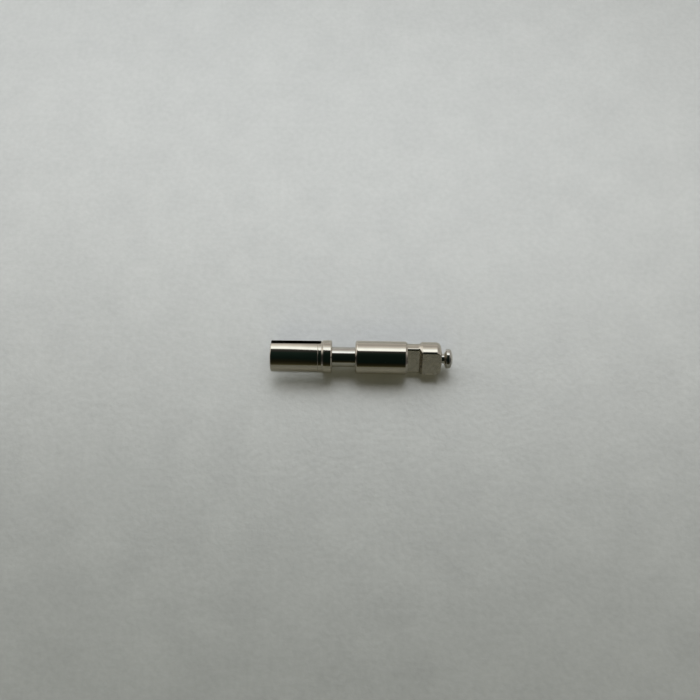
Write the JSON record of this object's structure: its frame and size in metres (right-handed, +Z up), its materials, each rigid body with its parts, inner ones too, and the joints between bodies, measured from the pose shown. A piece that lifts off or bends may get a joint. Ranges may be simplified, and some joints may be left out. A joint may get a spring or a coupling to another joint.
{
  "type": "watch stem",
  "caption": "Telescopic watch stem: a slotted snap socket on a sliding shaft, a polished barrel, a drive head with parallel flats and a domed button.",
  "frame": {"origin": "centre of the snap socket's mouth, on the stem's axis", "axes": "+X along the stem from the socket's mouth to the button, +Z up as the stem lies on a table"},
  "size_m": [0.0081, 0.0016, 0.0014],
  "materials": {
    "polished_steel": "mirror polished",
    "shaft_steel": "polished",
    "milled_steel": "polished round, finely milled flats",
    "button_steel": "polished",
    "bush_brass": "turned",
    "spring_steel": "drawn wire"
  },
  "bodies": {
    "socket_unit": {"snap_socket": "polished_steel", "sliding_shaft": "shaft_steel", "piston_key": "shaft_steel"},
    "barrel_unit": {"barrel": "polished_steel", "guide_bush": "bush_brass", "drive_head": "milled_steel", "button_pin": "button_steel", "thrust_spring": "spring_steel"}
  },
  "joints": [
    {"name": "stem_slide", "type": "slide", "parent": "socket_unit", "child": "barrel_unit", "axis": [-1, 0, 0], "range_m": [0, 0.00095], "stiffness_N_per_m": 170, "deforming": ["thrust_spring"]}
  ]
}
